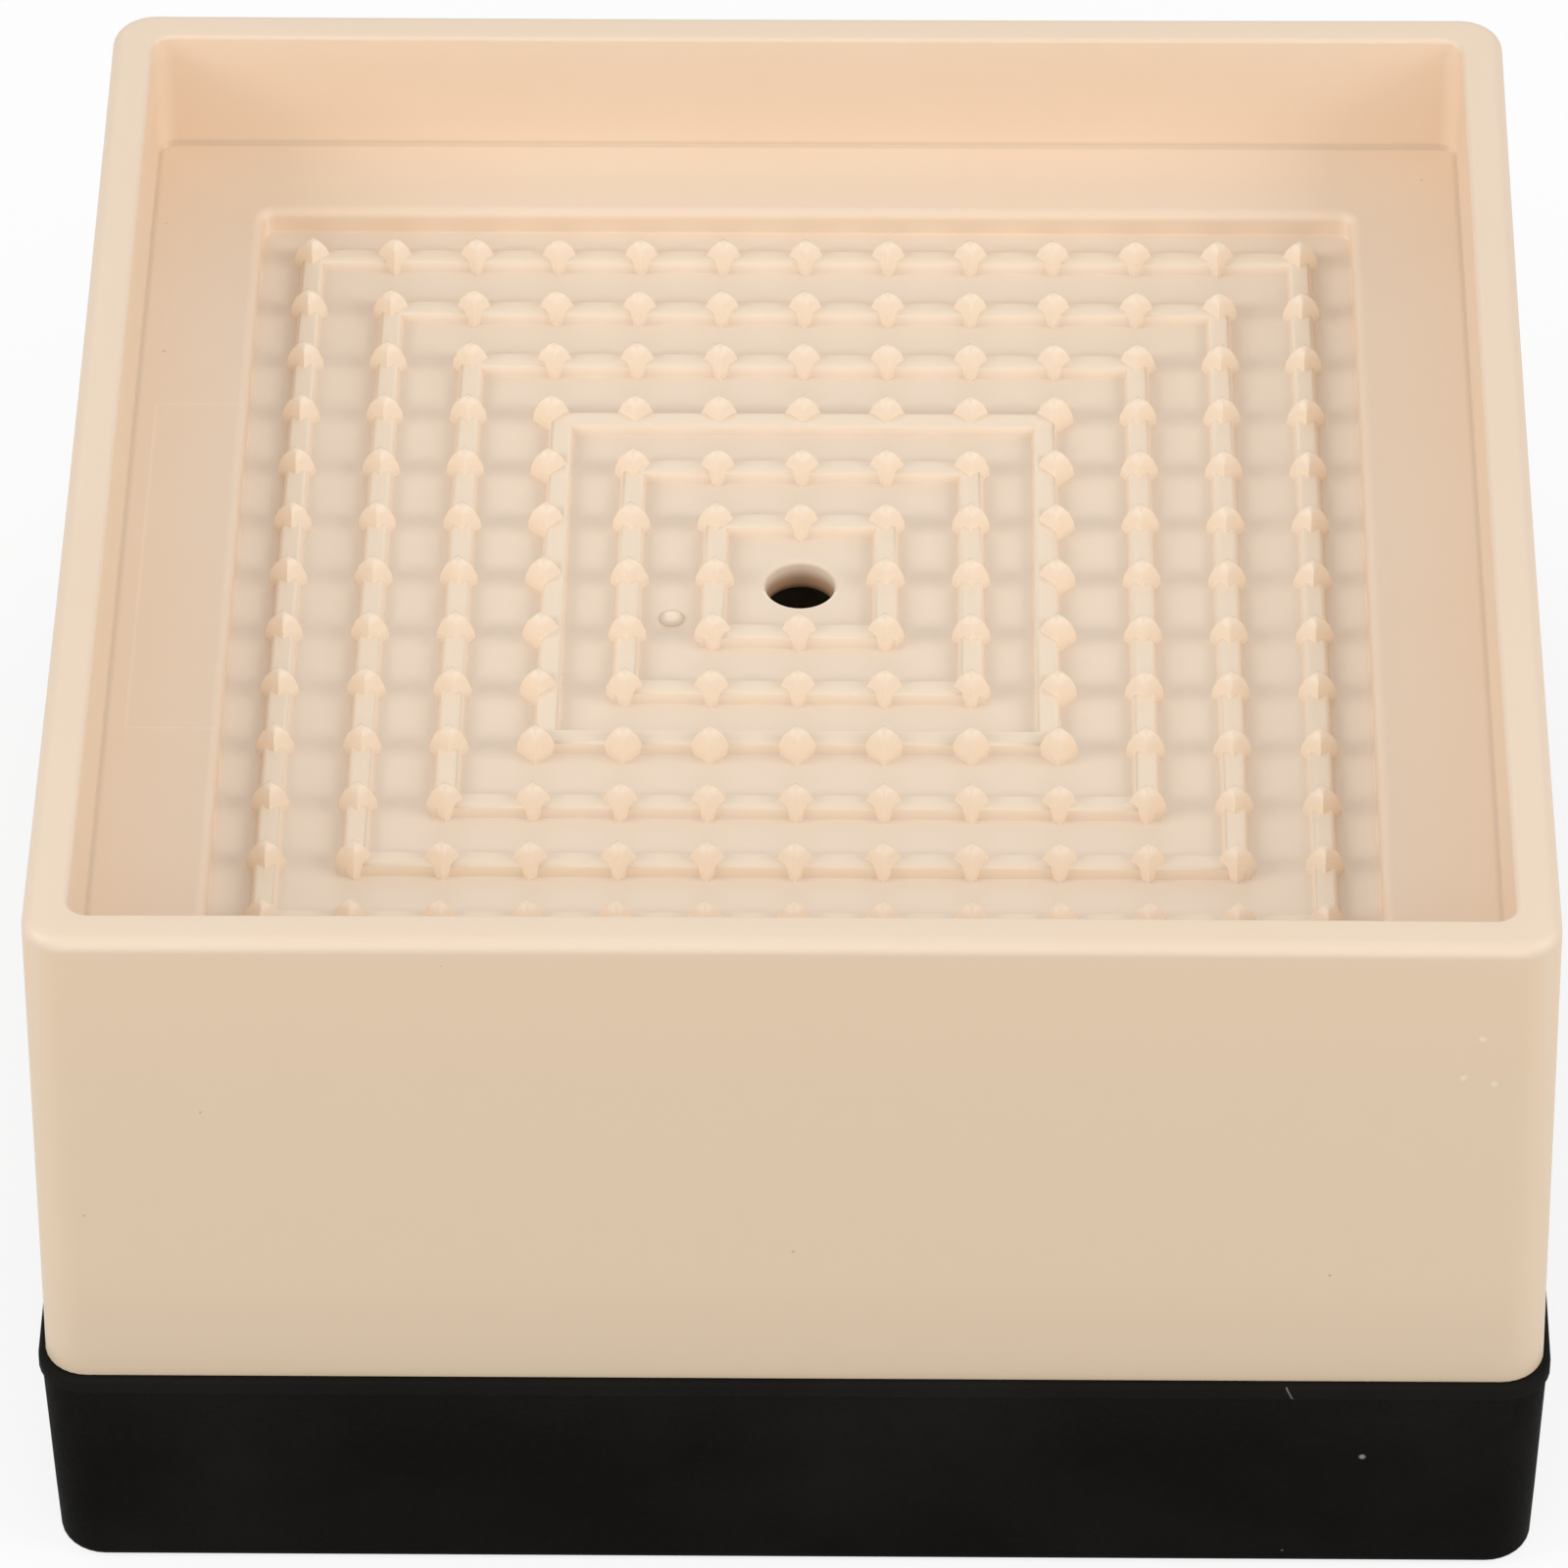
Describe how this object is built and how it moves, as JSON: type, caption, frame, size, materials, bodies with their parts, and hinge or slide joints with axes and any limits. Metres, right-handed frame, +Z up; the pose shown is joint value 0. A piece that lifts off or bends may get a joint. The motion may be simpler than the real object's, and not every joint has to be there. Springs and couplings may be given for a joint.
{
  "type": "bed riser",
  "caption": "Square bed riser: a moulded plastic body with a recessed, studded grip floor for a furniture leg, set in a rubber foot.",
  "frame": {"origin": "on the ground, under the centre of the rubber foot", "axes": "+Z up through the centre hole, -Y towards the front face seen in the picture"},
  "size_m": [0.1018, 0.1018, 0.0565],
  "materials": {
    "riser_body": "satin moulded plastic, beige",
    "rubber_foot": "matt black rubber"
  },
  "bodies": {
    "root": {"riser_body": "riser_body", "rubber_foot": "rubber_foot"}
  },
  "joints": []
}
